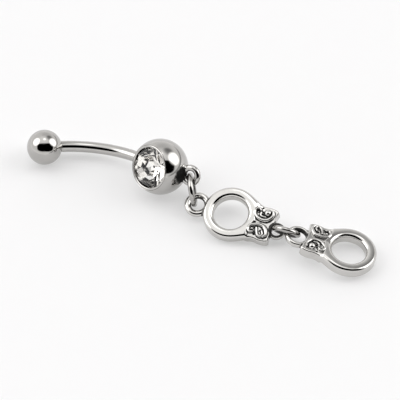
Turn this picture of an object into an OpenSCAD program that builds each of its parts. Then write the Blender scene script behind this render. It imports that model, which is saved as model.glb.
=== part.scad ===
// Navel ring: a curved bar with a plain ball, a gem ball and a drop of two linked cuffs.
// It lies at rest on a flat surface at z = 0, under the middle of its outline.
// Lengths are in millimetres and angles in degrees. A heading is measured from +X towards +Y.

/* [Top ball] */
// Diameter of the plain ball
top_ball_d = 5; // [4:0.25:6.5]

/* [Curved bar] */
// Diameter of the bar, 14 gauge
bar_d = 1.6; // [1.4:0.1:2]
// Clear length of the bar between the two balls, measured straight
bar_clear = 11.8; // [9:0.2:14]
// Radius of the bar's bend, to the middle of the bar
bar_bend_r = 12; // [9.5:0.5:20]
// Diameter of the thread stud in the top ball
stud_d = 1.2; // [0.8:0.05:1.3]
// Length of the thread stud
stud_len = 2.2; // [1.4:0.1:2.6]
// Length of the plug in the gem ball's socket
plug_len = 1.3; // [0.6:0.1:1.6]

/* [Gem ball] */
// Diameter of the gem ball
gem_ball_d = 8; // [7:0.25:9.5]
// Diameter of the flat rim round the stone
rim_d = 6.45; // [6:0.05:6.8]
// How far the lip leans in over the stone
lip_lean = 0.15; // [0.05:0.05:0.3]
// Wire thickness of the soldered eyelet
eyelet_wire = 0.8; // [0.6:0.05:1]
// Hole diameter of the eyelet
eyelet_hole = 1.3; // [1.3:0.05:1.8]
// Gap between the ball and the eyelet's hole
eyelet_neck = 0.3; // [0.1:0.05:0.6]

/* [Crystal] */
// Diameter of the stone at its girdle
stone_d = 5.6; // [4.8:0.05:5.8]
// Height of the stone's crown above the girdle
crown_h = 0.62; // [0.4:0.02:0.9]
// Depth of the stone's pavilion below the girdle
pavilion_h = 2.2; // [1.6:0.05:2.4]
// Height of the girdle band
girdle_h = 0.12; // [0.05:0.01:0.2]
// Share of the stone's diameter that its table takes
table_share = 0.62; // [0.5:0.01:0.7]
// Depth of the girdle's top below the rim
stone_sink = 0.3; // [0.2:0.05:0.5]

/* [Jump rings] */
// Wire thickness of both jump rings
ring_wire = 0.8; // [0.6:0.05:0.8]
// Outer diameter of the upper jump ring
upper_ring_d = 5; // [4.9:0.05:5.4]
// Outer diameter of the lower jump ring
lower_ring_d = 4.2; // [4.1:0.05:4.8]

/* [Cuffs] */
// Outer diameter of a cuff's ring
cuff_d = 8; // [7.2:0.1:9]
// Diameter of the hole in a cuff's ring
cuff_hole = 4.9; // [4.4:0.1:5.6]
// Thickness of a cuff's ring
cuff_t = 1.8; // [1.5:0.05:2.2]
// Radius of the ring's rounded edges
cuff_edge = 0.35; // [0.1:0.05:0.45]
// Distance from the ring's middle to the corners of the lock case
case_reach = 6.6; // [6.4:0.1:7.4]
// Width of the lock case
case_w = 5; // [4.6:0.1:5.6]
// How far the case's flat top lies below the ring's top
case_step = 0.35; // [0.1:0.05:0.5]
// Depth of the hollow curve across the case's end
case_dip = 0.3; // [0.1:0.05:0.5]
// Radius of the case's corners
case_corner = 0.45; // [0.1:0.05:0.8]

/* [Scrolls] */
// Height of the scrolls above the case's flat top
scroll_h = 0.4; // [0.25:0.05:0.5]
// Width of a scroll's ridge
scroll_w = 0.34; // [0.2:0.02:0.4]
// Radius of a scroll's outer arc
scroll_r = 1.35; // [1.2:0.05:1.4]
// Distance between a scroll's outer and inner arcs
scroll_step = 0.6; // [0.5:0.05:0.7]
// Diameter of the bead in a scroll's eye
scroll_bead = 0.5; // [0.3:0.05:0.6]

/* [Cuff loops] */
// Hole diameter of the loop on the upper cuff's ring
ring_loop_hole = 2.45; // [2.2:0.05:2.8]
// Band width of the loop on the upper cuff's ring
ring_loop_band = 0.75; // [0.6:0.05:1]
// How far that loop's hole reaches under the ring's wall
ring_loop_sink = 0.35; // [0:0.05:0.5]
// Hole diameter of the upper cuff's end loop
upper_end_hole = 1.7; // [1.6:0.05:2.2]
// Hole diameter of the lower cuff's end loop
lower_end_hole = 2.35; // [2.1:0.05:2.6]
// Band width of both end loops
end_loop_band = 0.65; // [0.5:0.05:0.8]
// Height of all the small loops
loop_h = 0.95; // [0.8:0.05:1.1]

/* [Rest pose] */
// Heading of the line from the top ball to the gem ball
bar_heading = -16.5; // [-40:0.5:20]
// Lean of the bar's bow, level at 0 and down when negative
bar_lean = -28; // [-40:1:0]
// Turn of the stone about the bar's end, level at 0
gem_turn = 33; // [20:1:50]
// Heading of the eyelet, away from the gem ball's middle
eyelet_heading = -28; // [-40:1:-20]
// Rise of the eyelet, away from the gem ball's middle
eyelet_rise = 9; // [4:1:20]
// Heading of the upper jump ring, from the eyelet to the cuff
upper_ring_heading = -76.5; // [-90:0.5:-60]
// Turn of the upper jump ring about its own span, upright at 0
upper_ring_turn = 13.5; // [-10:0.5:40]
// Heading of the upper cuff, from its ring to its lock case
upper_cuff_heading = -22.5; // [-30:0.5:-10]
// Dip of the upper cuff towards its lock case
upper_cuff_dip = 1; // [0:0.5:8]
// Roll of the upper cuff towards its near side
upper_cuff_roll = 16; // [8:0.5:20]
// Heading of the lower jump ring, from the upper to the lower cuff
lower_ring_heading = -28; // [-50:1:-20]
// Turn of the lower jump ring about its own span, upright at 0
lower_ring_turn = 31.5; // [10:0.5:50]
// Heading of the lower cuff, from its lock case to its ring
lower_cuff_heading = -18; // [-26:0.5:-8]
// Dip of the lower cuff towards its ring
lower_cuff_dip = 9; // [4:0.5:14]
// Roll of the lower cuff towards its near side
lower_cuff_roll = -4; // [-8:0.5:6]

/* [Fits] */
// Gap between the top ball's bore and the thread stud
thread_gap = 0.05; // [0.02:0.01:0.08]
// Gap between a seat or socket and what sits in it
seat_gap = 0.03; // [0.02:0.01:0.06]
// Gap between a jump ring's wire and the band that it hangs on
link_gap = 0.05; // [0.02:0.01:0.08]

/* [Hidden] */
$fn = 96;
nudge = 0.01;

top_r = top_ball_d / 2;
gem_r = gem_ball_d / 2;

// Directions
function unit(v) = v / norm(v);
function along(heading, dip) = [cos(dip) * cos(heading), cos(dip) * sin(heading), -sin(dip)];
function level(a) = unit([-a.y, a.x, 0]);

// A pose is [origin, x axis, y axis, z axis]. The rolled pose tips the right-hand side of a down.
function rolled(o, a, roll) =
    let (s = level(a), u = cross(a, s), b = s * cos(roll) + u * sin(roll))
    [o, a, b, cross(a, b)];
function faced(o, a, n) =
    let (c = unit(n - a * (a * n)))
    [o, a, cross(c, a), c];
function moved(pose, v) = pose[0] + pose[1] * v.x + pose[2] * v.y + pose[3] * v.z;
module placed(pose)
    multmatrix([for (i = [0:2]) [pose[1][i], pose[2][i], pose[3][i], pose[0][i]]]) children();

// The bar's own plane: it leaves the top ball, bends and enters the gem ball
seat_margin = 0.1;
seat_flat_r = bar_d / 2 + seat_margin;
top_seat = sqrt(pow(top_r, 2) - pow(seat_flat_r, 2));
gem_seat = sqrt(pow(gem_r, 2) - pow(seat_flat_r, 2));
half_bend = asin(bar_clear / 2 / bar_bend_r);
bar_start = (top_seat + seat_gap) * [cos(half_bend), sin(half_bend)];
bend_mid = bar_start + bar_bend_r * [sin(half_bend), -cos(half_bend)];
bar_end = bar_start + [bar_clear, 0];
gem_in_plane = bar_end + (gem_seat + seat_gap) * [cos(half_bend), -sin(half_bend)];
ball_span = norm(gem_in_plane);

// Both balls rest on the surface, and the bow leans over
bar_run = along(bar_heading, -asin((gem_r - top_r) / ball_span));
bow = level(bar_run) * cos(bar_lean) + cross(bar_run, level(bar_run)) * sin(bar_lean);
span_x = gem_in_plane / ball_span;
plane_x = bar_run * span_x.x - bow * span_x.y;
plane_y = bar_run * span_x.y + bow * span_x.x;

// The gem ball's middle is the start of the layout
gem_start = [0, 0, gem_r];
top_start = gem_start - bar_run * ball_span;
bar_out = plane_x * -cos(half_bend) + plane_y * sin(half_bend);
gem_axis = level(bar_out) * cos(gem_turn) + cross(bar_out, level(bar_out)) * sin(gem_turn);
rim_lift = sqrt(pow(gem_r, 2) - pow(rim_d / 2, 2));

// The eyelet's plane is as near as it can be to the plane of the stone's table
eyelet_out = along(eyelet_heading, -eyelet_rise);
eyelet_mid = gem_start + eyelet_out * (gem_r + eyelet_neck + eyelet_hole / 2);
eyelet_turn = faced(eyelet_mid, eyelet_out, gem_axis);

// Sizes of a cuff, measured from the middle of its ring
case_half = case_w / 2;
case_low = -cuff_t / 2;
case_top = cuff_t / 2 - case_step;
ring_loop_at = cuff_d / 2 + ring_loop_hole / 2 - ring_loop_sink;
loop_low = case_low + loop_h / 2;
function end_loop_at(hole) = case_reach - case_dip + hole / 2 + nudge;

// Support of a rounded ring, and of the case, towards a direction d in a pose
function ring_support(pose, d) =
    let (c = abs(pose[3] * d))
    (cuff_d / 2 - cuff_edge) * sqrt(1 - c * c) + (cuff_t / 2 - cuff_edge) * c + cuff_edge;
function case_support(pose, d) =
    let (x = pose[1] * d, y = abs(pose[2] * d), z = abs(pose[3] * d))
    (case_reach - case_corner) * x + (case_half - case_corner) * y
    + case_corner * sqrt(x * x + y * y) + cuff_t / 2 * z;
function cuff_support(pose, d) = max(ring_support(pose, d), case_support(pose, d));

// Each cuff rests on its lowest edge. The lower one points back, so the lock cases face each other.
down = [0, 0, -1];
upper_turn = rolled([0, 0, 0], along(upper_cuff_heading, upper_cuff_dip), upper_cuff_roll);
upper_lift = cuff_support(upper_turn, down);
lower_turn = rolled([0, 0, 0], along(lower_cuff_heading + 180, -lower_cuff_dip), -lower_cuff_roll);
lower_lift = cuff_support(lower_turn, down);

// Where a jump ring's wire passes a hole: at a share of the free room, and at an angle
function passed(at, hole, share, angle) =
    at + (hole / 2 - ring_wire / 2 - link_gap) * share * [cos(angle), sin(angle), 0];
eyelet_pass = passed([0, 0, 0], eyelet_hole, 0.81, -124);
ring_loop_pass = passed([-ring_loop_at, 0, loop_low], ring_loop_hole, 0.97, -170);
upper_end_pass = passed([end_loop_at(upper_end_hole), 0, loop_low], upper_end_hole, 0.57, 147);
lower_end_pass = passed([end_loop_at(lower_end_hole), 0, loop_low], lower_end_hole, 0.68, -65);

// A jump ring spans nearly its full width, from a point in one hole to a point in the next.
// Its middle is then a little to one side of that span: below it at -1, above it at 1.
function ring_pose(from, to, turn, r, side) =
    let (c = unit(to - from), h = norm(to - from) / 2, s = level(c),
         n = s * cos(turn) + cross(c, s) * sin(turn), m = cross(c, n))
    [(from + to) / 2 + m * side * sqrt(max(0, r * r - h * h)), c, m * -1, n];
function span_to(from, z, chord, heading) =
    let (dip = asin((from.z - z) / chord)) from + chord * along(heading, dip);

upper_ring_r = (upper_ring_d - ring_wire) / 2;
upper_chord = 2 * upper_ring_r * 0.981;
upper_from = moved(eyelet_turn, eyelet_pass);
upper_to_z = upper_lift + moved(upper_turn, ring_loop_pass).z;
upper_to = span_to(upper_from, upper_to_z, upper_chord, upper_ring_heading);
upper_start = upper_to - moved(upper_turn, ring_loop_pass);

lower_ring_r = (lower_ring_d - ring_wire) / 2;
lower_chord = 2 * lower_ring_r * 0.989;
lower_from = upper_start + moved(upper_turn, upper_end_pass);
lower_to_z = lower_lift + moved(lower_turn, lower_end_pass).z;
lower_to = span_to(lower_from, lower_to_z, lower_chord, lower_ring_heading);
lower_start = lower_to - moved(lower_turn, lower_end_pass);

// The middle of the whole outline goes to x = 0, y = 0
low_x = top_start.x - top_r;
high_x = lower_start.x + ring_support(lower_turn, [1, 0, 0]);
low_y = lower_start.y - ring_support(lower_turn, [0, -1, 0]);
high_y = top_start.y + top_r;
shift = [-(low_x + high_x) / 2, -(low_y + high_y) / 2, 0];

gem_mid = gem_start + shift;
top_mid = top_start + shift;
gem_pose = [gem_mid, bar_out, cross(gem_axis, bar_out), gem_axis];
bar_pose = [top_mid, plane_x, plane_y, cross(plane_x, plane_y)];
eyelet_pose = faced(eyelet_mid + shift, eyelet_out, gem_axis);
upper_ring_pose = ring_pose(upper_from + shift, upper_to + shift, upper_ring_turn, upper_ring_r, -1);
lower_ring_pose = ring_pose(lower_from + shift, lower_to + shift, lower_ring_turn, lower_ring_r, 1);
upper_pose = [upper_start + shift, upper_turn[1], upper_turn[2], upper_turn[3]];
lower_pose = [lower_start + shift, lower_turn[1], lower_turn[2], lower_turn[3]];

// A round bar of radius r along an in-plane direction
module rod(start, angle, r, from, to)
    translate([start.x, start.y, 0]) rotate([0, 0, angle]) rotate([0, 90, 0])
        translate([0, 0, from]) cylinder(r = r, h = to - from);

module torus(r, wire)
    rotate_extrude() translate([r, 0]) circle(d = wire);

// A ball with a small flat where the bar's shoulder sits, along +X of the bar's plane
module seated_ball(r, seat)
    difference() {
        sphere(r = r, $fn = 128);
        rotate([0, 90, 0]) translate([0, 0, seat]) cylinder(r = seat_flat_r + nudge, h = r);
    }

module top_ball()
    color([0.78, 0.78, 0.79]) placed(bar_pose) rotate([0, 0, half_bend]) difference() {
        seated_ball(top_r, top_seat);
        rotate([0, 90, 0]) translate([0, 0, top_seat - stud_len])
            cylinder(r = stud_d / 2 + thread_gap, h = stud_len + nudge);
    }

module curved_bar()
    color([0.74, 0.74, 0.75]) placed(bar_pose) {
        translate([bend_mid.x, bend_mid.y, 0]) rotate([0, 0, 90 - half_bend])
            rotate_extrude(angle = 2 * half_bend) translate([bar_bend_r, 0]) circle(d = bar_d);
        rod([0, 0], half_bend, stud_d / 2,
            top_seat + seat_gap - stud_len + thread_gap, top_seat + 2 * seat_gap);
        rod(bar_end, -half_bend, bar_d / 2 - seat_gap, -seat_gap, plug_len);
    }

// The stone's cup: a lip that leans in over the girdle, a seat and a cone
cup_r = stone_d / 2 + seat_gap;
cone_room = 0.25;
girdle_z = rim_lift - stone_sink;
module stone_cup() {
    translate([0, 0, girdle_z]) cylinder(r1 = cup_r, r2 = cup_r - lip_lean, h = stone_sink + nudge);
    translate([0, 0, girdle_z - girdle_h - seat_gap]) cylinder(r = cup_r, h = girdle_h + seat_gap);
    translate([0, 0, girdle_z - girdle_h - seat_gap - pavilion_h - cone_room])
        cylinder(r1 = 0, r2 = cup_r, h = pavilion_h + cone_room);
    translate([0, 0, rim_lift]) cylinder(r = gem_r, h = gem_r);
}

module gem_ball()
    color([0.78, 0.78, 0.79]) {
        placed(gem_pose) difference() {
            seated_ball(gem_r, gem_seat);
            stone_cup();
            rotate([0, 90, 0]) translate([0, 0, gem_seat - plug_len])
                cylinder(r = bar_d / 2, h = plug_len + nudge);
        }
        placed(eyelet_pose) torus((eyelet_hole + eyelet_wire) / 2, eyelet_wire);
    }

// A round stone with a table, eight star, eight kite and sixteen girdle facets above the girdle,
// and eight main and sixteen girdle facets below it
facets = 8;
step_angle = 360 / facets;
star_share = 0.53;
main_share = 0.3;
girdle_r = stone_d / 2;
table_r = girdle_r * table_share / cos(step_angle / 2);
star_r = (table_r + girdle_r) * star_share;
lower_r = girdle_r * main_share;
function spun(r, turns, z) = [r * cos(turns * step_angle), r * sin(turns * step_angle), z];
crown_slope = crown_h / (girdle_r - table_r);
star_z = crown_h - (star_r * cos(step_angle / 2) - table_r) * crown_slope;
lower_z = -girdle_h - pavilion_h * (1 - lower_r * cos(step_angle / 2) / girdle_r);
stone_points = concat(
    [for (i = [0:facets - 1]) spun(table_r, i, crown_h)],
    [for (i = [0:facets - 1]) spun(star_r, i + 0.5, star_z)],
    [for (i = [0:2 * facets - 1]) spun(girdle_r, i / 2, 0)],
    [for (i = [0:2 * facets - 1]) spun(girdle_r, i / 2, -girdle_h)],
    [for (i = [0:facets - 1]) spun(lower_r, i + 0.5, lower_z)],
    [[0, 0, -girdle_h - pavilion_h]]);
function table_at(i) = i % facets;
function star_at(i) = facets + (i + facets) % facets;
function top_at(i) = 2 * facets + (i + 2 * facets) % (2 * facets);
function under_at(i) = 4 * facets + (i + 2 * facets) % (2 * facets);
function lower_at(i) = 6 * facets + (i + facets) % facets;
culet = 7 * facets;
stone_faces = concat(
    [[for (i = [facets - 1:-1:0]) table_at(i)]],
    [for (i = [0:facets - 1]) [table_at(i), table_at(i + 1), star_at(i)]],
    [for (i = [0:facets - 1]) [table_at(i), star_at(i), top_at(2 * i), star_at(i - 1)]],
    [for (i = [0:facets - 1]) [star_at(i), top_at(2 * i + 1), top_at(2 * i)]],
    [for (i = [0:facets - 1]) [star_at(i), top_at(2 * i + 2), top_at(2 * i + 1)]],
    [for (i = [0:2 * facets - 1]) [top_at(i), top_at(i + 1), under_at(i + 1), under_at(i)]],
    [for (i = [0:facets - 1]) [culet, lower_at(i - 1), under_at(2 * i), lower_at(i)]],
    [for (i = [0:facets - 1]) [lower_at(i), under_at(2 * i), under_at(2 * i + 1)]],
    [for (i = [0:facets - 1]) [lower_at(i), under_at(2 * i + 1), under_at(2 * i + 2)]]);

module crystal()
    color([0.93, 0.95, 0.97]) placed(gem_pose) translate([0, 0, girdle_z])
        polyhedron(points = stone_points, faces = stone_faces, convexity = 2);

module upper_jump_ring()
    color([0.8, 0.8, 0.81]) placed(upper_ring_pose) torus(upper_ring_r, ring_wire);

module lower_jump_ring()
    color([0.8, 0.8, 0.81]) placed(lower_ring_pose) torus(lower_ring_r, ring_wire);

// The ring of a cuff, with rounded edges
module cuff_ring() {
    wall = (cuff_d - cuff_hole) / 2;
    rotate_extrude() translate([(cuff_d + cuff_hole) / 4, 0]) union() {
        square([wall, cuff_t - 2 * cuff_edge], center = true);
        square([wall - 2 * cuff_edge, cuff_t], center = true);
        for (x = [-1, 1], y = [-1, 1])
            translate([x * (wall / 2 - cuff_edge), y * (cuff_t / 2 - cuff_edge)]) circle(r = cuff_edge);
    }
}

// A small cast loop, flat in the cuff's plane
module cast_loop(at, hole, band)
    translate([at, 0, loop_low]) rotate_extrude() translate([(hole + band) / 2, 0]) union() {
        for (y = [-1, 1]) translate([0, y * (loop_h - band) / 2]) circle(d = band);
        square([band, loop_h - band], center = true);
    }

// The lock case's outline, with rounded corners and a hollow end
dip_r = (pow(case_half, 2) + pow(case_dip, 2)) / (2 * case_dip);
module case_outline()
    difference() {
        union() {
            translate([0, -case_half]) square([case_reach - case_corner, case_w]);
            translate([0, -case_half + case_corner]) square([case_reach, case_w - 2 * case_corner]);
            for (y = [-1, 1])
                translate([case_reach - case_corner, y * (case_half - case_corner)]) circle(r = case_corner);
        }
        circle(d = (cuff_d + cuff_hole) / 2);
        translate([case_reach - case_dip + dip_r, 0]) circle(r = dip_r);
    }

// A round-topped knob, and a ridge of the same height along an arc with knobs for ends
module knob(d) {
    cylinder(d = d, h = scroll_h + nudge - d / 2);
    translate([0, 0, scroll_h + nudge - d / 2]) sphere(d = d);
}
module ridge(r, from, to) {
    straight = scroll_h + nudge - scroll_w / 2;
    rotate([0, 0, from]) rotate_extrude(angle = to - from) translate([r, 0]) union() {
        translate([-scroll_w / 2, 0]) square([scroll_w, straight]);
        translate([0, straight]) circle(d = scroll_w);
    }
    for (end = [from, to]) rotate([0, 0, end]) translate([r, 0, 0]) knob(scroll_w);
}

// A scroll: two arcs open to the case's long edge, round a bead
scroll_margin = 0.33;
scroll_side = 0.65;
scroll_at = [case_reach - case_dip - scroll_margin - scroll_w / 2 - scroll_r, case_half - scroll_side];
module scroll() {
    ridge(scroll_r, -170, 15);
    ridge(scroll_r - scroll_step, -219, 10);
    knob(scroll_bead);
}
module scrolls()
    for (side = [0, 1]) mirror([0, side, 0])
        translate([scroll_at.x, scroll_at.y, case_top - nudge]) scroll();

module cuff(end_hole, with_ring_loop) {
    cuff_ring();
    translate([0, 0, case_low]) linear_extrude(case_top - case_low) case_outline();
    scrolls();
    cast_loop(end_loop_at(end_hole), end_hole, end_loop_band);
    if (with_ring_loop) cast_loop(-ring_loop_at, ring_loop_hole, ring_loop_band);
}

module upper_cuff()
    color([0.8, 0.8, 0.81]) placed(upper_pose) cuff(upper_end_hole, true);

module lower_cuff()
    color([0.8, 0.8, 0.81]) placed(lower_pose) cuff(lower_end_hole, false);

top_ball();
curved_bar();
gem_ball();
crystal();
upper_jump_ring();
upper_cuff();
lower_jump_ring();
lower_cuff();
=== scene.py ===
import math

import bpy
import numpy as np
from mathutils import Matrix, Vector


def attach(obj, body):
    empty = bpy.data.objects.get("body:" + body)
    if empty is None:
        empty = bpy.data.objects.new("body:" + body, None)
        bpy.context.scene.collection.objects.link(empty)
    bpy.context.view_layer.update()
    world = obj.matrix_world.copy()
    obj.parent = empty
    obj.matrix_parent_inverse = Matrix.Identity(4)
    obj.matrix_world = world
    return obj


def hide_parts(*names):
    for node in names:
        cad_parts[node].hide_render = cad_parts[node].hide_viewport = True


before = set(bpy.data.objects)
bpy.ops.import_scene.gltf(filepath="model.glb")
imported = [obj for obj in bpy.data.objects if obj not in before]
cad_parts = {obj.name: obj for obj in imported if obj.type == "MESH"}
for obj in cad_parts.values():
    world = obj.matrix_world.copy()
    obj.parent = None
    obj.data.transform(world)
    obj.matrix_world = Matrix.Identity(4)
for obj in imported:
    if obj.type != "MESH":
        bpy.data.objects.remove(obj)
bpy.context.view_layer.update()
print("frame loaded")

mm = 0.001                          # the sizes below are in millimetres, the scene is in metres


def unit(v):
    v = np.array(v, float)
    return v / np.linalg.norm(v)


# where each piece lies at rest: a middle and the directions of its own x and z, and how the bar is bent
place = {
    "screwBall": {"mid": (-22.3283, 10.1186, 2.5)},
    "gemBall": {"mid": (-5.80875, 5.22532, 4.0), "towardsBar": (-0.720729, 0.630123, -0.288954),
                "stoneAxis": (-0.670492, -0.527802, 0.521406)},
    "bar": {"bendTurn": 29.4502, "screwAxis": (-0.9636365, -0.2025493, 0.1742922)},
    "eyelet": {"mid": (-1.49197, 2.93005, 4.77435), "x": (0.872077, -0.463692, 0.156434),
               "z": (-0.460784, -0.670400, 0.581586)},
    "upperRing": {"mid": (-1.25543, 1.89514, 2.837), "x": (0.152938, -0.637033, -0.755512),
                  "z": (0.986676, 0.055498, 0.152938)},
    "upperCuff": {"mid": (4.23449, -1.87428, 1.88655), "x": (0.923739, -0.382625, -0.017452),
                  "z": (-0.0899825, -0.261076, 0.961115)},
    "lowerRing": {"mid": (12.078, -5.17126, 2.03718), "x": (0.852239, -0.453143, 0.261439),
                  "z": (0.279678, 0.816967, 0.504326)},
    "lowerCuff": {"mid": (20.7879, -8.60926, 1.51582), "x": (-0.939347, 0.305212, 0.156434),
                  "z": (0.169972, 0.018119, 0.985282)},
}


def axesOf(x, z):
    z = unit(z)
    x = np.array(x, float)
    x = unit(x - z * (x @ z))
    return np.array([x, np.cross(z, x), z])


def laid(points, mid, axes):
    return np.asarray(points, float) @ axes + np.array(mid, float)


def addMesh(name, points, faces, materials, normals=None, facetMaterial=None, smooth=True):
    mesh = bpy.data.meshes.new(name)
    mesh.from_pydata((np.asarray(points, float) * mm).tolist(), [], faces)
    for material in materials:
        mesh.materials.append(material)
    mesh.polygons.foreach_set("use_smooth", [smooth] * len(mesh.polygons))
    if facetMaterial is not None:
        mesh.polygons.foreach_set("material_index", facetMaterial)
    mesh.update()
    if normals is not None:
        mesh.normals_split_custom_set_from_vertices(np.asarray(normals, float).tolist())
    piece = bpy.data.objects.new(name, mesh)
    bpy.context.scene.collection.objects.link(piece)
    return piece


# painted shade: a share of darkening at each point, read by the metal material
def markPaintedShade(piece, values):
    mark = piece.data.attributes.new("recessShade", "FLOAT", "POINT")
    mark.data.foreach_set("value", np.asarray(values, np.float32))


def sharpen(piece, degrees):
    piece.data.set_sharp_from_angle(angle=math.radians(degrees))


def finishPiece(piece, body, node):
    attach(piece, body)
    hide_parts(node)
    print("made", piece.name, len(piece.data.polygons), "faces")


def joined(parts):
    points, faces, start = [], [], 0
    for p, f in parts:
        points.append(np.asarray(p, float))
        faces += [[i + start for i in face] for face in f]
        start += len(p)
    return np.vstack(points), faces


# a turned form: a profile of (radius, height) spun about its own z
def turned(profile, steps):
    points, faces, rows = [], [], []
    for r, h in profile:
        if r == 0:
            rows.append([len(points)])
            points.append((0.0, 0.0, h))
        else:
            rows.append(list(range(len(points), len(points) + steps)))
            turn = np.arange(steps) * 2 * math.pi / steps
            points += [(r * math.cos(t), r * math.sin(t), h) for t in turn]
    for low, high in zip(rows, rows[1:]):
        for i in range(steps):
            j = (i + 1) % steps
            if len(low) == 1 and len(high) > 1:
                faces.append([low[0], high[j], high[i]])
            elif len(high) == 1 and len(low) > 1:
                faces.append([low[i], low[j], high[0]])
            elif len(low) > 1:
                faces.append([low[i], low[j], high[j], high[i]])
    return np.array(points), faces


def arcProfile(radius, start, end, steps):
    turn = np.radians(np.linspace(start, end, steps))
    return [(radius * math.cos(t), radius * math.sin(t)) for t in turn]


# how high a ball's surface is above its middle, at a distance from the axis
def ballHeight(ball, r):
    return math.sqrt(ball["radius"] ** 2 - r ** 2)


# a tube of changing radius along a path, with its ends closed
def tube(path, radii, steps):
    path = np.asarray(path, float)
    ahead = np.roll(path, -1, 0) - np.roll(path, 1, 0)
    ahead[0], ahead[-1] = path[1] - path[0], path[-1] - path[-2]
    ahead /= np.linalg.norm(ahead, axis=1)[:, None]
    bend = np.linalg.svd(path - path.mean(0))[2][2]         # the normal of the path's plane
    side = np.cross(ahead, bend)
    side /= np.linalg.norm(side, axis=1)[:, None]
    turn = np.arange(steps) * 2 * math.pi / steps
    points = [mid + radius * (np.cos(turn)[:, None] * aside + np.sin(turn)[:, None] * bend)
              for mid, radius, aside in zip(path, radii, side)]
    faces = []
    last = (len(path) - 1) * steps
    for row in range(0, last, steps):
        for j in range(steps):
            n = (j + 1) % steps
            faces.append([row + j, row + steps + j, row + steps + n, row + n])
    faces.append(list(range(steps)))
    faces.append(list(range(last, last + steps))[::-1])
    return np.vstack(points), faces


# the surface where a field of distances is zero, one point in each crossed cell, drawn onto the field
def skinOf(field, low, high, cell, rounds=3, weldShare=0.03):
    spans = [np.arange(a, b + cell, cell) for a, b in zip(low, high)]
    grid = np.meshgrid(*spans, indexing="ij")
    depth = field(*grid)
    cells = tuple(n - 1 for n in depth.shape)
    total = np.zeros(cells + (3,))
    count = np.zeros(cells)
    edges = []
    for axis in range(3):
        first = [slice(None)] * 3
        second = [slice(None)] * 3
        first[axis], second[axis] = slice(0, -1), slice(1, None)
        a, b = depth[tuple(first)], depth[tuple(second)]
        where = np.argwhere((a < 0) != (b < 0))
        va, vb = a[tuple(where.T)], b[tuple(where.T)]
        crossing = where.astype(float)
        crossing[:, axis] += va / (va - vb)
        u, v = [k for k in range(3) if k != axis]
        around = []
        for du, dv in ((0, 0), (-1, 0), (-1, -1), (0, -1)):
            cellAt = where.copy()
            cellAt[:, u] += du
            cellAt[:, v] += dv
            around.append(cellAt)
        inside = np.all([np.all((c >= 0) & (c < cells), axis=1) for c in around], axis=0)
        for c in around:
            c = c[inside]
            np.add.at(total, tuple(c.T), crossing[inside])
            np.add.at(count, tuple(c.T), 1)
        edges.append((around, inside, va < 0, axis))
    used = np.argwhere(count > 0)
    number = np.full(cells, -1)
    number[tuple(used.T)] = np.arange(len(used))
    points = total[tuple(used.T)] / count[tuple(used.T)][:, None] * cell + np.array([s[0] for s in spans])
    faces = []
    # each edge of the grid that crosses the surface gives a face between the four cells around it
    for around, inside, rising, axis in edges:
        quad = np.stack([number[tuple(c[inside].T)] for c in around], 1)
        turnIt = rising[inside] == (axis != 1)
        quad[~turnIt] = quad[~turnIt][:, ::-1]
        faces += quad.tolist()
    for _ in range(rounds):                                 # the points are drawn onto the surface
        slope, d = slopeOf(field, points)
        points = points - slope * np.clip(d, -cell, cell)[:, None]
    # points that fall together are made one
    spots = np.round(points / (cell * weldShare))
    first, number = np.unique(spots, axis=0, return_index=True, return_inverse=True)[1:]
    points = points[first]
    faces = [list(dict.fromkeys(f)) for f in number.ravel()[np.array(faces)].tolist()]
    return points, [f for f in faces if len(f) > 2], slopeOf(field, points)[0]


# the outward direction at each point, and its distance
def slopeOf(field, points, reach=0.004, smallest=1e-9):
    x, y, z = points.T
    slope = np.stack([field(x + reach, y, z) - field(x - reach, y, z),
                      field(x, y + reach, z) - field(x, y - reach, z),
                      field(x, y, z + reach) - field(x, y, z - reach)], 1)
    slope /= np.maximum(np.linalg.norm(slope, axis=1), smallest)[:, None]
    return slope, field(x, y, z)


# two distances in one, with a fillet where their forms meet
def blendOf(a, b, width):
    share = np.clip(0.5 + 0.5 * (b - a) / width, 0, 1)
    return b * (1 - share) + a * share - width * share * (1 - share)


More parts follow.
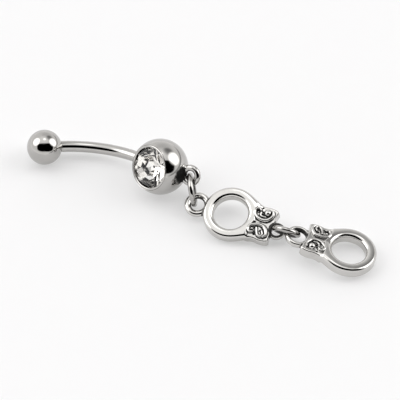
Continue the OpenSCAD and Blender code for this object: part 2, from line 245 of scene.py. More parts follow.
# shader maths: a socket that takes part in Python expressions
class Link:
    def __init__(self, tree, socket=None):
        self.tree = tree
        self.socket = socket

    def make(self, kind, settings=None, sockets=None, out=0):
        node = self.tree.nodes.new(kind)
        for name, value in (settings or {}).items():
            setattr(node, name, value)
        for name, value in (sockets or {}).items():
            if isinstance(value, Link):
                self.tree.links.new(value.socket, node.inputs[name])
            else:
                node.inputs[name].default_value = value
        return Link(self.tree, node.outputs[out] if node.outputs else None)

    def maths(self, operation, first, second=0.0):
        return self.make("ShaderNodeMath", {"operation": operation}, {0: first, 1: second})

    def __add__(self, other):
        return self.maths("ADD", self, other)

    def __radd__(self, other):
        return self.maths("ADD", other, self)

    def __sub__(self, other):
        return self.maths("SUBTRACT", self, other)

    def __rsub__(self, other):
        return self.maths("SUBTRACT", other, self)

    def __mul__(self, other):
        return self.maths("MULTIPLY", self, other)

    def __pow__(self, other):
        return self.maths("POWER", self, other)

    def between(self, low, high):
        return self.make("ShaderNodeMapRange", {"interpolation_type": "SMOOTHSTEP"},
                         {"Value": self, "From Min": low, "From Max": high})

    def noise(self, where, scale, detail, rough):
        return self.make("ShaderNodeTexNoise", {"noise_dimensions": "3D"},
                         {"Vector": where, "Scale": scale, "Detail": detail, "Roughness": rough})

    def dot(self, way):
        return self.make("ShaderNodeVectorMath", {"operation": "DOT_PRODUCT"}, {0: self, 1: way}, out=1)

    def stretched(self, where, x, y, z):
        return self.make("ShaderNodeVectorMath", {"operation": "MULTIPLY"}, {0: where, 1: (x, y, z)})

    def tinted(self, amount, first, second):
        first, second = [c if isinstance(c, Link) else c + (1,) for c in (first, second)]
        sockets = {"Factor": amount, 6: first, 7: second}
        return self.make("ShaderNodeMix", {"data_type": "RGBA"}, sockets, out=2)

    def bumpFrom(self, height, strength, reach):
        return self.make("ShaderNodeBump", {},
                         {"Strength": strength, "Distance": reach * mm, "Height": height})

    # the place on the piece, in millimetres
    def onPiece(self):
        where = self.make("ShaderNodeTexCoord", out=3)
        return self.make("ShaderNodeVectorMath", {"operation": "SCALE"}, {0: where, "Scale": 1 / mm})


def newMaterial(name):
    material = bpy.data.materials.new(name)
    material.use_nodes = True
    material.node_tree.nodes.clear()
    return material, Link(material.node_tree)


def surfaceFrom(link, sockets):
    shader = link.make("ShaderNodeBsdfPrincipled", {}, sockets)
    link.make("ShaderNodeOutputMaterial", {}, {"Surface": shader})


# polished metal: colour, wipe marks in the gloss, fine polishing lines, a little waviness and how strongly
# painted shade darkens its recesses
metals = {
    "ballSteel": {"bright": (0.47, 0.46, 0.447), "dull": (0.41, 0.40, 0.387), "gloss": 0.035, "wipe": 0.045,
                  "wave": 0.10, "waveSize": 0.9, "lines": 0.25, "grain": (22, 22, 22), "recessShade": 1.0,
                  "torn": 2.2},
    "barSteel": {"bright": (0.48, 0.47, 0.457), "dull": (0.40, 0.39, 0.377), "gloss": 0.05, "wipe": 0.05,
                 "wave": 0.12, "waveSize": 1.2, "lines": 0.7, "grain": (3, 60, 60), "recessShade": 0.0},
    "ringSteel": {"bright": (0.44, 0.43, 0.418), "dull": (0.35, 0.34, 0.33), "gloss": 0.03, "wipe": 0.05,
                  "wave": 0.25, "waveSize": 1.6, "lines": 0.6, "grain": (30, 30, 30), "recessShade": 0.8,
                  "torn": 3.0},
    "castMetal": {"bright": (0.61, 0.60, 0.583), "dull": (0.50, 0.49, 0.477), "gloss": 0.03, "wipe": 0.05,
                  "wave": 0.9, "waveSize": 1.1, "lines": 0.8, "grain": (26, 26, 26), "recessShade": 0.93,
                  "torn": 3.0},
}
# what the metals share: each noise has its fineness, detail and roughness
polish = {"wipeNoise": (0.55, 4.0, 0.6), "wipeFrom": (0.35, 0.7), "wipeTint": 0.35, "waveDetail": (1.0, 0.4),
          "lineNoise": (1.0, 3.0, 0.65), "lineRough": 0.02, "lineHeight": 0.012, "bumpHeight": 0.01,
          "pitNoise": (9.0, 2.0, 0.5), "pitFrom": (0.70, 0.78), "pitTint": 0.4, "pitRough": 0.12,
          "pitHeight": 0.05, "edgeShine": 0.1}
# painted shade in the recesses: a near-black colour with a torn edge, rougher and less metallic
paintedShade = {"tornDetail": (4.0, 0.65), "tear": 1.1, "from": (0.35, 0.65), "colour": (0.012, 0.0115, 0.011),
        "rough": 0.25, "dull": 0.9}


def metalMaterial(name):
    look, p = metals[name], polish
    material, link = newMaterial(name)
    where = link.onPiece()
    wipe = link.noise(where, *p["wipeNoise"]).between(*p["wipeFrom"])
    lines = link.noise(link.stretched(where, *look["grain"]), *p["lineNoise"])
    wave = link.noise(where, look["waveSize"], *p["waveDetail"])
    pits = link.noise(where, *p["pitNoise"]).between(*p["pitFrom"])
    marks = link.maths("MINIMUM", wipe * p["wipeTint"] + pits * p["pitTint"], 1.0)
    colour = link.tinted(marks, look["bright"], look["dull"])
    rough = look["gloss"] + wipe * look["wipe"] + pits * p["pitRough"] + lines * p["lineRough"]
    shine = 1.0
    if look["recessShade"]:                                      # painted shade in the corners
        deep = link.make("ShaderNodeAttribute", {"attribute_name": "recessShade"}, out=2)
        torn = link.noise(where, look["torn"], *paintedShade["tornDetail"]) - 0.5
        deep = (deep + torn * paintedShade["tear"]).between(*paintedShade["from"]) * look["recessShade"]
        colour = link.tinted(deep, colour, paintedShade["colour"])
        rough = rough + deep * paintedShade["rough"]
        shine = 1 - deep * paintedShade["dull"]
    height = wave * look["wave"] + lines * look["lines"] * p["lineHeight"] - pits * p["pitHeight"]
    surfaceFrom(link, {"Base Color": colour, "Metallic": shine, "Roughness": rough,
                       "Normal": link.bumpFrom(height, 1.0, p["bumpHeight"]),
                       "Specular IOR Level": p["edgeShine"]})
    return material


# the stone's glass with smears and fine scratches, and the foil behind it
glass = {"bend": 1.47, "smearNoise": (1.4, 3.0, 0.6), "smearFrom": (0.4, 0.7), "smearRough": 0.02,
         "scratchGrain": (30, 3, 8), "scratchNoise": (1.0, 2.0, 0.5), "scratch": 0.4, "scratchHeight": 0.0005}
foil = {"bright": (0.93, 0.92, 0.905), "dull": (0.78, 0.765, 0.745), "patchNoise": (1.1, 3.0, 0.6),
        "patchFrom": (0.3, 0.75), "patchRough": 0.03, "gloss": 0.008}


def glassMaterial():
    material, link = newMaterial("clearCrystal")
    where = link.onPiece()
    smear = link.noise(where, *glass["smearNoise"]).between(*glass["smearFrom"])
    scratch = link.noise(link.stretched(where, *glass["scratchGrain"]), *glass["scratchNoise"])
    surfaceFrom(link, {"Base Color": (1, 1, 1, 1), "Roughness": smear * glass["smearRough"],
                       "IOR": glass["bend"], "Transmission Weight": 1.0,
                       "Normal": link.bumpFrom(scratch, glass["scratch"], glass["scratchHeight"])})
    return material


def foilMaterial():
    material, link = newMaterial("stoneFoil")
    where = link.onPiece()
    patch = link.noise(where, *foil["patchNoise"]).between(*foil["patchFrom"])
    colour = link.tinted(patch, foil["bright"], foil["dull"])
    rough = patch * foil["patchRough"] + foil["gloss"]
    surfaceFrom(link, {"Base Color": colour, "Metallic": 1.0, "Roughness": rough})
    return material


made = {name: metalMaterial(name) for name in metals}
clearCrystal = glassMaterial()
stoneFoil = foilMaterial()
print("materials ready")

# the plain ball on the thread, turned about the screw's axis
screwBall = {"radius": 2.5, "seatR": 0.9, "boreR": 0.65, "boreDepth": 2.2, "edge": 0.04, "arcFrom": 1.0,
             "arcTo": 89.5, "rows": 96, "steps": 128, "sharp": 30}


def makeScrewBall():
    s = screwBall
    seat = ballHeight(s, s["seatR"])
    turn = math.degrees(math.asin(seat / s["radius"]))
    e = s["edge"]
    profile = [(0, -seat + s["boreDepth"]), (s["boreR"], -seat + s["boreDepth"]), (s["boreR"], -seat + e),
               (s["boreR"] + e, -seat), (s["seatR"] - e, -seat), (s["seatR"], -seat + e / 3)]
    profile += arcProfile(s["radius"], s["arcFrom"] - turn, s["arcTo"], s["rows"]) + [(0, s["radius"])]
    points, faces = turned(profile, s["steps"])
    axis = unit(place["bar"]["screwAxis"])
    axes = axesOf(np.cross(axis, (0, 0, 1)), axis)
    ball = addMesh("screwBall", laid(points, place["screwBall"]["mid"], axes), faces, [made["ballSteel"]])
    sharpen(ball, s["sharp"])
    finishPiece(ball, "screw_ball", "top_ball")


makeScrewBall()

# the bent bar, its thread stud and its plug
curvedBar = {"radius": 0.8, "bendR": 12.0, "bendFrom": 0.004, "bendRows": 90, "seatGap": 0.03,
             "seatEdge": 0.05, "studR": 0.6, "studLength": 2.2, "studStep": 0.001, "pitch": 0.25,
             "threadDepth": 0.03, "threadEnds": (0.1, 0.06), "threadRows": 80, "plugR": 0.77,
             "plugLength": 1.3, "plugStep": 0.005, "steps": 48, "sharp": 35}


def makeBar():
    s = curvedBar
    half = math.radians(place["bar"]["bendTurn"])
    along = unit(place["bar"]["screwAxis"]) * -1            # from the screw ball into the bar
    into = unit(place["gemBall"]["towardsBar"]) * -1        # from the bar into the gem ball
    planeX = unit(along + into)
    planeY = unit(along - into)
    seat = ballHeight(screwBall, screwBall["seatR"])
    start = np.array(place["screwBall"]["mid"]) + along * (seat + s["seatGap"])
    mid = start + s["bendR"] * (planeX * math.sin(half) - planeY * math.cos(half))
    free, inner = s["threadEnds"]
    rows = []                                               # points of the path, each with its radius
    for d in np.linspace(free - s["studLength"], -inner, s["threadRows"]):      # the thread on the stud
        wave = math.sin(2 * math.pi * d / s["pitch"])
        rows.append((start + along * d, s["studR"] - s["threadDepth"] + s["threadDepth"] * wave))
    rows += [(start - along * s["studStep"], s["studR"]), (start, s["radius"] - s["seatEdge"])]
    for t in np.linspace(s["bendFrom"], 1, s["bendRows"]):
        turn = half - 2 * half * t
        rows.append((mid + s["bendR"] * (planeY * math.cos(turn) - planeX * math.sin(turn)), s["radius"]))
    end = rows[-1][0]
    rows += [(end + into * s["plugStep"], s["plugR"]), (end + into * s["plugLength"], s["plugR"])]
    path, radii = zip(*rows)
    points, faces = tube(path, radii, s["steps"])
    bar = addMesh("curvedBar", points, faces, [made["barSteel"]])
    sharpen(bar, s["sharp"])
    finishPiece(bar, "jewel", "curved_bar")


makeBar()

# the gem ball: a polished ball with a flat rim and a lip over the stone, and the soldered eyelet
# the last keys place the painted shade and dark reflection around the eyelet
gemBall = {"radius": 4.0, "arcFrom": -89.2, "arcShort": 1.2, "rows": 110, "steps": 160, "seatR": 0.9,
           "rimR": 3.225, "rimEdge": 0.05, "lipTopR": 2.9, "lipR": 3.0, "lipDepth": 0.3, "lipRise": 2.2,
           "lipRows": 25, "lipFoot": (0.03, 0.2), "cupWall": 0.15, "cupDepth": 2.75, "sharp": 30,
           "eyeletR": 1.11, "eyeletWire": 0.9, "solder": 0.5, "margin": 0.6, "cell": 0.05, "proud": 0.004,
           "hubDepth": 3.4, "shadeReach": 1.8, "shadeFade": 1.1, "shadeShift": (-0.12, -0.12, 0.06),
           "shadeHeight": 0.3, "shadeAbove": 0.35}


# how far points stand proud of the ball
def proudOf(points, mid):
    return np.linalg.norm(points - mid, axis=1) - gemBall["radius"]


def makeGemBall():
    s = gemBall
    rim = ballHeight(s, s["rimR"])
    rise = math.degrees(math.asin(rim / s["radius"]))
    e = s["rimEdge"]
    profile = [(0, -s["radius"])] + arcProfile(s["radius"], s["arcFrom"], rise - s["arcShort"], s["rows"])
    bead = (s["rimR"] - s["lipTopR"]) / 2                   # the lip is burnished to a low rounded bead
    profile += [(s["rimR"] - bead + bead * math.cos(t), rim - e + e * s["lipRise"] * math.sin(t) - e)
                for t in np.linspace(0.0, math.pi, s["lipRows"])]
    footIn, footDown = s["lipFoot"]
    profile += [(s["lipTopR"] + footIn, rim - footDown), (s["lipR"], rim - s["lipDepth"])]
    profile += [(s["lipR"], rim - s["lipDepth"] - s["cupWall"]), (0, rim - s["lipDepth"] - s["cupDepth"])]
    points, faces = turned(profile, s["steps"])
    mid = np.array(place["gemBall"]["mid"])
    stoneAxis = unit(place["gemBall"]["stoneAxis"])
    bar = unit(place["gemBall"]["towardsBar"])
    points = laid(points, mid, axesOf(bar, stoneAxis))
    reach = (points - mid) @ bar                            # the ball has a small flat under the bar
    points -= np.maximum(reach - ballHeight(s, s["seatR"]), 0)[:, None] * bar

    eye = place["eyelet"]
    axes = axesOf(eye["x"], eye["z"])
    inBall = (mid - np.array(eye["mid"])) @ axes.T          # the ball's middle, seen from the eyelet

    def field(x, y, z):
        ring = np.hypot(np.hypot(x, y) - s["eyeletR"], z) - s["eyeletWire"] / 2
        ball = np.sqrt((x - inBall[0]) ** 2 + (y - inBall[1]) ** 2 + (z - inBall[2]) ** 2) - s["radius"]
        return blendOf(ring, ball, s["solder"])

    wide = s["eyeletR"] + s["eyeletWire"] / 2 + s["margin"]
    eyePoints, eyeFaces = skinOf(field, (-wide, -wide, -wide), (wide, wide, wide), s["cell"])[:2]
    keep = proudOf(eyePoints, inBall) > s["proud"]
    eyeFaces = [f for f in eyeFaces if all(keep[f])]
    # the open edge is closed to a point inside the ball
    sides = {(a, b) for f in eyeFaces for a, b in zip(f, f[1:] + f[:1])}
    hub = inBall * (1 - s["hubDepth"] / np.linalg.norm(inBall))
    eyeFaces += [[b, a, len(eyePoints)] for a, b in sides if (b, a) not in sides]
    eyePoints = laid(np.vstack([eyePoints, hub]), eye["mid"], axes)
    points, faces = joined([(points, faces), (eyePoints, eyeFaces)])
    piece = addMesh("gemBall", points, faces, [made["ballSteel"]])
    sharpen(piece, s["sharp"])
    # painted shade and dark reflection around the soldered eyelet, weaker on the eyelet than on the ball
    root = mid + unit(unit(np.array(eye["mid"]) - mid) + s["shadeShift"]) * s["radius"]
    away = np.linalg.norm(points - root, axis=1)
    shaded = np.clip((s["shadeReach"] - away) / s["shadeFade"], 0, 1)
    markPaintedShade(piece, shaded * np.where(proudOf(points, mid) < s["shadeHeight"], 1, s["shadeAbove"]))
    finishPiece(piece, "jewel", "gem_ball")


makeGemBall()

# the round stone: clear facets above, foiled facets below
stone = {"radius": 2.97, "crown": 0.66, "pavilion": 2.35, "girdle": 0.12, "tableShare": 0.62,
         "starShare": 0.53, "sink": 0.3, "facets": 8, "turn": -6.0}


def makeStone():
    s = stone
    n = s["facets"]
    step = 2 * math.pi / n
    tableR = s["radius"] * s["tableShare"] / math.cos(step / 2)
    starR = (tableR + s["radius"]) * s["starShare"]
    starZ = s["crown"] - (starR * math.cos(step / 2) - tableR) * s["crown"] / (s["radius"] - tableR)
    dip = s["pavilion"] * (1 - math.cos(step / 2))          # the girdle dips between the back facets

    def ringOf(r, turns, heights):
        return [(r * math.cos(t * step), r * math.sin(t * step), z) for t, z in zip(turns, heights)]

    points = ringOf(tableR, range(n), [s["crown"]] * n)
    points += ringOf(starR, [i + 0.5 for i in range(n)], [starZ] * n)
    points += ringOf(s["radius"], [i / 2 for i in range(2 * n)], [0] * 2 * n)
    points += ringOf(s["radius"], [i / 2 for i in range(2 * n)],
                     [-s["girdle"] - (dip if i % 2 else 0) for i in range(2 * n)])
    points += [(0, 0, -s["girdle"] - s["pavilion"])]
    # the numbers of the corners: star facets, upper and lower girdle, and the culet
    star = lambda i: n + i % n
    top = lambda i: 2 * n + i % (2 * n)
    under = lambda i: 4 * n + i % (2 * n)
    culet = 6 * n
    crown = [list(range(n))]
    crown += [[(i + 1) % n, i, star(i)] for i in range(n)]
    crown += [[i, star(i - 1), top(2 * i), star(i)] for i in range(n)]
    crown += [[star(i), top(2 * i), top(2 * i + 1)] for i in range(n)]
    crown += [[star(i), top(2 * i + 1), top(2 * i + 2)] for i in range(n)]
    back = [[top(i + 1), top(i), under(i), under(i + 1)] for i in range(2 * n)]
    back += [[culet, under(2 * i + 1), under(2 * i), under(2 * i - 1)] for i in range(n)]
    turn = math.radians(s["turn"])
    turnX = (math.cos(turn), math.sin(turn), 0)
    turnY = (-math.sin(turn), math.cos(turn), 0)
    spun = np.array(points) @ np.array([turnX, turnY, (0, 0, 1)])
    stoneAxis = unit(place["gemBall"]["stoneAxis"])
    rim = ballHeight(gemBall, gemBall["rimR"])
    mid = np.array(place["gemBall"]["mid"]) + stoneAxis * (rim - s["sink"])
    points = laid(spun, mid, axesOf(place["gemBall"]["towardsBar"], stoneAxis))
    piece = addMesh("roundStone", points, crown + back, [clearCrystal, stoneFoil],
                    facetMaterial=[0] * len(crown) + [1] * len(back), smooth=False)
    finishPiece(piece, "jewel", "crystal")


makeStone()

# the jump rings: round wire bent to a ring, its two ends butted
# each ring's last pair sets where painted shade on its inside starts and is full, in wire radii
jumpRings = {
    "upper": {"place": "upperRing", "name": "upperJumpRing", "node": "upper_jump_ring",
              "radius": 2.1, "seam": 100, "innerShade": (0.25, 0.8)},
    "lower": {"place": "lowerRing", "name": "lowerJumpRing", "node": "lower_jump_ring",
              "radius": 1.7, "seam": 250, "innerShade": (0.0, 0.4)},
}
ringWire = {"radius": 0.4, "seamGap": 0.02, "endRound": 0.05, "endShare": 0.3, "endInsets": (0.04, 0.014),
            "steps": 40, "turns": 160, "sharp": 40}


def makeJumpRing(s):
    w = ringWire
    gapTurn = math.degrees(w["seamGap"] / s["radius"])
    roundTurn = math.degrees(w["endRound"] / s["radius"])
    first, last = s["seam"] + gapTurn / 2, s["seam"] + 360 - gapTurn / 2
    turns = [first, first + roundTurn * w["endShare"]]
    turns += list(np.linspace(first + roundTurn, last - roundTurn, w["turns"]))
    turns += [last - roundTurn * w["endShare"], last]
    insets = [*w["endInsets"], *[0] * w["turns"], *w["endInsets"][::-1]]
    radii = [w["radius"] - inset for inset in insets]
    path = [(s["radius"] * math.cos(t), s["radius"] * math.sin(t), 0) for t in np.radians(turns)]
    at = place[s["place"]]
    points, faces = tube(laid(path, at["mid"], axesOf(at["x"], at["z"])), radii, w["steps"])
    piece = addMesh(s["name"], points, faces, [made["ringSteel"]])
    sharpen(piece, w["sharp"])
    # painted shade on the inside of the ring
    inwards = (s["radius"] - np.linalg.norm(points - np.array(at["mid"]), axis=1)) / w["radius"]
    low, high = s["innerShade"]
    markPaintedShade(piece, np.clip((inwards - low) / (high - low), 0, 1))
    finishPiece(piece, "jewel", s["node"])


for ring in jumpRings.values():
    makeJumpRing(ring)

# the cast cuffs: ring, lock case with raised scrolls, and their small loops
cuff = {"outerR": 4.0, "holeR": 2.45, "thick": 1.8, "outerEdge": 0.46, "holeEdge": 0.55, "crown": 0.07,
        "domeMost": 1.2, "stepFrom": 3.5, "stepLength": 0.55, "stepSlant": 0.32, "stepSpan": 1.6,
        "caseReach": 6.6, "caseHalf": 2.56, "caseStep": 0.35, "caseDrop": 0.2, "caseDip": 0.3,
        "caseCorner": 0.58, "caseEdge": 0.24, "caseMelt": 1.4, "boss": (5.3, 1.38, 1.22), "bossMelt": 0.5,
        "loopHeight": 0.95, "ringLoopX": -5.15, "ringLoopHole": 1.9, "ringLoopBand": 0.95, "melt": 0.2,
        "cell": 0.065, "pad": 0.15, "topPad": 0.25}
# painted shade lies where a point a little outside the surface is still near metal, and inside the loops
cuffShade = {"probe": 0.25, "near": 0.235, "fade": 0.11, "ringLoopShade": 0.2, "loopShadeFade": 0.15,
            "loopShadeMost": 0.8}
# each scroll line has its points (along, across), its half width from end to end and its crest height,
# a bead is (along, across, radius, crest height) and a pit is (along, across, radius)
scrolls = {
    "starts": 2.7, "overlap": 0.3, "melt": 0.06, "sink": 0.25, "pitDeep": 0.4, "lineSteps": 4,
    "far": {
        "lines": [
            {"points": [(4.05, 1.75), (3.75, 1.98), (3.36, 1.82), (3.25, 1.32), (3.55, 0.85), (4.1, 0.5),
                        (4.8, 0.4), (5.4, 0.62), (5.78, 1.1), (5.92, 1.6), (5.78, 2.02)],
             "half": [0.12, 0.14, 0.15, 0.16, 0.19, 0.24, 0.27, 0.26, 0.23, 0.19, 0.14], "crest": 0.97},
            {"points": [(4.15, 1.45), (4.2, 1.08), (4.55, 0.88), (5.0, 0.92)],
             "half": [0.12, 0.14, 0.14, 0.12], "crest": 0.92},
        ],
        "beads": [(5.06, 1.66, 0.52, 1.06), (3.72, 1.42, 0.13, 0.75)],
        "pits": [(4.48, 1.25, 0.18), (4.35, 1.6, 0.12), (3.68, 1.62, 0.12), (4.15, 2.25, 0.14)],
    },
    "near": {
        "lines": [
            {"points": [(4.0, -1.75), (3.55, -1.85), (3.25, -1.45), (3.4, -0.9), (3.9, -0.6), (4.6, -0.42),
                        (5.3, -0.55), (5.78, -1.05), (5.95, -1.62), (5.7, -2.05)],
             "half": [0.13, 0.17, 0.2, 0.2, 0.18, 0.2, 0.25, 0.27, 0.22, 0.14], "crest": 0.99},
            {"points": [(4.35, -1.0), (4.55, -1.5), (4.85, -1.95), (5.3, -2.1), (5.5, -1.7), (5.25, -1.25)],
             "half": [0.14, 0.15, 0.16, 0.16, 0.14, 0.12], "crest": 0.95},
        ],
        "beads": [(3.76, -1.3, 0.22, 0.88)],
        "pits": [(5.0, -1.2, 0.17), (4.3, -1.95, 0.17), (4.05, -1.05, 0.1), (3.75, -1.62, 0.07)],
    },
}
# how strongly each cuff gets painted shade in its recesses, and how far it reaches around the end loop's hole
# an end loop is (along, across, hole, band, middle height, height)
cuffs = {
    "upper": {"place": "upperCuff", "name": "upperCuff", "node": "upper_cuff", "ringLoop": True,
              "paintedShade": 0.74, "endLoopShade": 0.48, "endLoop": (7.05, -0.2, 1.5, 0.5, -0.2, 0.8)},
    "lower": {"place": "lowerCuff", "name": "lowerCuff", "node": "lower_cuff", "ringLoop": False,
              "paintedShade": 0.6, "endLoopShade": 0.25, "endLoop": (7.485, 0.0, 2.35, 0.65, -0.425, 0.95)},
}
farAway = 9.0                       # a distance beyond every form of a cuff


# a smooth line through the points
def curveThrough(points, steps):
    p = np.array(points, float)
    p = np.vstack([2 * p[0] - p[1], p, 2 * p[-1] - p[-2]])
    out = []
    for i in range(1, len(p) - 2):
        for t in np.arange(steps) / steps:
            out.append(0.5 * (2 * p[i] + (p[i + 1] - p[i - 1]) * t
                              + (2 * p[i - 1] - 5 * p[i] + 4 * p[i + 1] - p[i + 2]) * t ** 2
                              + (3 * p[i] - p[i - 1] - 3 * p[i + 1] + p[i + 2]) * t ** 3))
    out.append(p[-2])
    return np.array(out)


# the distance to a rounded ridge along a line, its crest at a set height
def lineField(x, y, z, line):
    ridge = [(a[0], a[1], h) for a, h in zip(line["points"], line["half"])]
    path = curveThrough(ridge, scrolls["lineSteps"])
    best = np.full(x.shape, farAway)
    for a, b in zip(path, path[1:]):
        dx, dy = b[0] - a[0], b[1] - a[1]
        t = np.clip(((x - a[0]) * dx + (y - a[1]) * dy) / (dx * dx + dy * dy), 0, 1)
        half = a[2] + (b[2] - a[2]) * t
        aside = np.hypot(x - a[0] - t * dx, y - a[1] - t * dy)
        best = np.minimum(best, np.hypot(aside, np.maximum(z - line["crest"] + half, 0)) - half)
    return best


# the raised scrolls and beads on both sides of the case
def scrollField(x, y, z):
    s = scrolls
    relief = np.full(x.shape, farAway)
    for name, side in (("far", 1), ("near", -1)):
        near = (x > s["starts"]) & (z > 0) & (y * side > -s["overlap"])
        nx, ny, nz = x[near], y[near], z[near]
        form = np.full(nx.shape, farAway)
        for line in s[name]["lines"]:
            form = blendOf(form, lineField(nx, ny, nz, line), s["melt"])
        for along, across, radius, crest in s[name]["beads"]:
            bead = np.sqrt((nx - along) ** 2 + (ny - across) ** 2 + (nz - crest + radius) ** 2) - radius
            form = blendOf(form, bead, s["melt"])
        # the relief starts a little under the top of the case
        form = np.maximum(form, cuff["thick"] / 2 - cuff["caseStep"] - s["sink"] - nz)
        relief[near] = np.minimum(relief[near], form)
    return relief


# the round pits between the scrolls
def pitField(x, y, z):
    s = scrolls
    pits = np.full(x.shape, farAway)
    near = (x > s["starts"]) & (z > 0)
    nx, ny, nz = x[near], y[near], z[near]
    deep = cuff["thick"] / 2 - cuff["caseStep"] - s["pitDeep"]
    form = np.full(nx.shape, farAway)
    for along, across, radius in s["far"]["pits"] + s["near"]["pits"]:
        aside = np.hypot(nx - along, ny - across)
        form = np.minimum(form, np.hypot(aside, np.minimum(nz - deep - radius, 0)) - radius)
    pits[near] = form
    return pits


# the space between two walls that meet at a right angle, its outer side rounded
def cornerOf(a, b):
    return np.hypot(np.maximum(a, 0), np.maximum(b, 0)) + np.minimum(np.maximum(a, b), 0)


# a cuff as one field of distances, and the corners of the box it lies in
def cuffField(which):
    s = cuff
    low = -s["thick"] / 2
    loopZ = low + s["loopHeight"] / 2
    wall = s["outerR"] - s["holeR"]
    dipR = (s["caseHalf"] ** 2 + s["caseDip"] ** 2) / (2 * s["caseDip"])

    def loop(x, y, z, along, across, hole, band, midZ, height):
        out = np.hypot(x - along, y - across) - (hole + band) / 2
        return np.hypot(out, np.maximum(np.abs(z - midZ) - (height - band) / 2, 0)) - band / 2

    def field(x, y, z):
        rho = np.hypot(x, y)
        c = s["caseCorner"]
        endWall = np.abs(x - s["caseReach"] / 2) - s["caseReach"] / 2 + c
        case = cornerOf(endWall, np.abs(y) - s["caseHalf"] + c) - c
        bossX, bossY, bossR = s["boss"]
        case = blendOf(case, np.hypot(x - bossX, np.abs(y) - bossY) - bossR, s["bossMelt"])
        case = np.maximum(case, dipR - np.hypot(x - (s["caseReach"] - s["caseDip"] + dipR), y))
        outline = blendOf(case, rho - s["outerR"], s["caseMelt"])       # ring and case in one outline
        hole = s["holeR"] - rho
        start = s["stepFrom"] - s["stepSlant"] * np.minimum(np.abs(y), s["stepSpan"])
        down = np.clip((x - start) / s["stepLength"], 0, 1)     # the top steps down under the scrolls
        down = down * down * (3 - 2 * down)
        edge = np.where(hole > outline, s["holeEdge"],
                        s["outerEdge"] + (s["caseEdge"] - s["outerEdge"]) * down)
        dome = s["crown"] * np.clip((outline - hole) / wall, -s["domeMost"], s["domeMost"]) ** 2
        top = z - s["thick"] / 2 + dome + (s["caseStep"] - s["crown"]) * down
        bottom = -s["thick"] / 2 - z + dome - (s["caseDrop"] + s["crown"]) * down
        body = cornerOf(np.maximum(outline, hole) + edge, np.maximum(top, bottom) + edge) - edge
        body = blendOf(body, scrollField(x, y, z), scrolls["melt"])
        body = np.maximum(body, -pitField(x, y, z))
        body = blendOf(body, loop(x, y, z, *which["endLoop"]), s["melt"])
        if which["ringLoop"]:
            small = loop(x, y, z, s["ringLoopX"], 0, s["ringLoopHole"], s["ringLoopBand"], loopZ,
                         s["loopHeight"])
            body = blendOf(body, small, s["melt"])
        return body

    reach = which["endLoop"][0] + which["endLoop"][2] / 2 + which["endLoop"][3]
    back = s["ringLoopX"] - s["ringLoopHole"] / 2 - s["ringLoopBand"] if which["ringLoop"] else -s["outerR"]
    side = s["outerR"] + s["pad"]
    lowCorner = (back - s["pad"], -side, low - s["caseDrop"] - s["pad"])
    highCorner = (reach + s["pad"], side, s["thick"] / 2 + s["topPad"])
    return field, lowCorner, highCorner


def makeCuff(which):
    field, low, high = cuffField(which)
    points, faces, slopes = skinOf(field, low, high, cuff["cell"])
    s = cuffShade
    # painted shade in the recesses, then inside the loops
    probe = points + slopes * s["probe"]
    recessShade = np.clip((s["near"] - field(*probe.T)) / s["fade"], 0, 1) * which["paintedShade"]
    loops = [which["endLoop"][:3] + (which["endLoopShade"],)]
    if which["ringLoop"]:
        loops.append((cuff["ringLoopX"], 0, cuff["ringLoopHole"], s["ringLoopShade"]))
    for along, across, hole, innerShade in loops:              # the loops get painted shade on the inside
        inside = hole / 2 + innerShade - np.hypot(points[:, 0] - along, points[:, 1] - across)
        recessShade = np.maximum(recessShade, np.clip(inside / s["loopShadeFade"], 0, s["loopShadeMost"]))
    at = place[which["place"]]
    axes = axesOf(at["x"], at["z"])
    piece = addMesh(which["name"], laid(points, at["mid"], axes), faces, [made["castMetal"]],
                    normals=slopes @ axes)
    markPaintedShade(piece, recessShade)
    finishPiece(piece, "jewel", which["node"])


for which in cuffs.values():
    makeCuff(which)

# the table, and the tent around it with its lamps painted on the world so that their edges are soft
tableTop = {"half": 900, "cells": 24, "drop": 0.004, "colour": (0.507, 0.505, 0.515),
            "grain": (0.35, 3.0, 0.5), "grainTint": 0.985, "grainRough": 0.1, "gloss": 0.5,
            "glowColour": (1.0, 0.998, 0.99), "glow": 0.40}
tent = {"colour": (1.0, 0.995, 0.985), "wall": 1.04, "horizon": 1.25, "horizonEdge": (-0.05, 0.25),
        "opening": 0.0, "openingMid": (0.11, -0.03), "openingHalf": (0.98, 0.47), "openingPower": 3,
        "openingEdge": (0.75, 1.15), "gapLow": (-0.03, 0.03), "gapHigh": (0.10, 0.17),
        "gapSide": (0.35, 0.75), "gapDark": 0.62}
lamps = {
    "leftBox": {"towards": (-0.765, 0.14, 0.63), "inner": 15, "outer": 27, "level": 2.0},
    "rightBox": {"towards": (0.80, 0.13, 0.58), "inner": 13, "outer": 28, "level": 2.3},
    "topGlow": {"towards": (-0.06, 0.20, 0.97), "inner": 10, "outer": 38, "level": 0.28},
    "topBox": {"towards": (0.02, 0.25, 0.97), "inner": 5, "outer": 11, "level": 1.2},
    "darkFlag": {"towards": (0.475, 0.485, 0.739), "inner": 4, "outer": 23, "level": -0.6},
    "backDim": {"towards": (0.20, 0.72, 0.66), "inner": 5, "outer": 32, "level": -0.2},
}
view = {"elevation": 50.0, "target": (-0.156, 1.591, 0.95), "distance": 1200.0, "pixelsPerMm": 7.04,
        "framePixels": 400, "sensor": 36.0, "clip": (0.01, 20)}


def makeFloor():
    s = tableTop
    n = s["cells"]
    span = np.linspace(-s["half"], s["half"], n + 1)
    points = [(x, y, -s["drop"]) for y in span for x in span]
    faces = [[j * (n + 1) + i, j * (n + 1) + i + 1, (j + 1) * (n + 1) + i + 1, (j + 1) * (n + 1) + i]
             for j in range(n) for i in range(n)]
    material, link = newMaterial("paleTable")
    where = link.onPiece()
    grain = link.noise(where, *s["grain"])
    colour = link.tinted(grain, s["colour"], tuple(c * s["grainTint"] for c in s["colour"]))
    surfaceFrom(link, {"Base Color": colour, "Roughness": grain * s["grainRough"] + s["gloss"],
                       "Emission Color": s["glowColour"] + (1,), "Emission Strength": s["glow"]})
    floor = addMesh("table", points, faces, [material], smooth=False)


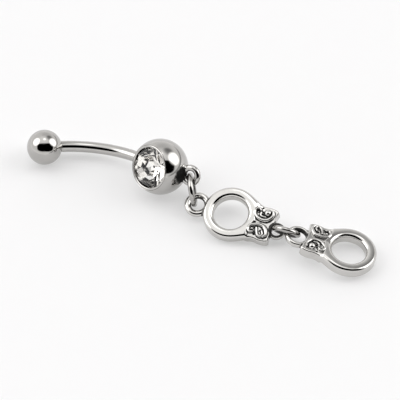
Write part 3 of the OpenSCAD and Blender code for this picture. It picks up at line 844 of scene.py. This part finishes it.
def makeTent():
    world = bpy.data.worlds.new("tent")
    bpy.context.scene.world = world
    world.use_nodes = True
    world.node_tree.nodes.clear()
    link = Link(world.node_tree)
    where = link.make("ShaderNodeTexCoord", out=0)
    tilt = math.radians(view["elevation"])
    near = where.dot((0, -math.cos(tilt), math.sin(tilt)))
    up = where.dot((0, math.sin(tilt), math.cos(tilt)))
    x, z = where.dot((1, 0, 0)), where.dot((0, 0, 1))
    turn = link.maths("ARCTAN2", x, near)
    s = tent
    across, rise = s["openingMid"]
    wide, high = s["openingHalf"]
    far = link.maths("ABSOLUTE", (turn - across) * (1 / wide)) ** s["openingPower"]
    far = far + link.maths("ABSOLUTE", (up - rise) * (1 / high)) ** s["openingPower"]
    level = s["wall"] + (1 - z.between(*s["horizonEdge"])) * (s["horizon"] - s["wall"])
    gap = z.between(*s["gapLow"]) * (1 - z.between(*s["gapHigh"])) * x.between(*s["gapSide"])
    level = level * (1 - gap * s["gapDark"])                # the dark gap beyond the table's right edge
    # the opening that the camera looks through
    level = level + (1 - far.between(*s["openingEdge"])) * (s["opening"] - level)
    for lamp in lamps.values():
        nearLamp = where.dot(tuple(unit(lamp["towards"])))
        edge = [math.cos(math.radians(lamp[at])) for at in ("outer", "inner")]
        level = level + nearLamp.between(*edge) * lamp["level"]
    paint = link.make("ShaderNodeBackground", {}, {"Color": s["colour"] + (1,), "Strength": level})
    link.make("ShaderNodeOutputWorld", {}, {"Surface": paint})


def makeCamera():
    s = view
    camera = bpy.data.cameras.new("camera")
    camera.sensor_width = s["sensor"]
    camera.lens = s["sensor"] * s["distance"] / (s["framePixels"] / s["pixelsPerMm"])
    camera.clip_start, camera.clip_end = s["clip"]
    eye = bpy.data.objects.new("camera", camera)
    bpy.context.scene.collection.objects.link(eye)
    tilt = math.radians(s["elevation"])
    back = Vector((0, -math.cos(tilt), math.sin(tilt)))
    eye.location = Vector(s["target"]) * mm + back * s["distance"] * mm
    eye.rotation_euler = back.to_track_quat("Z", "Y").to_euler()
    bpy.context.scene.camera = eye


makeFloor()
makeTent()
makeCamera()
bpy.context.scene.view_settings.view_transform = "Standard"
print("studio ready")
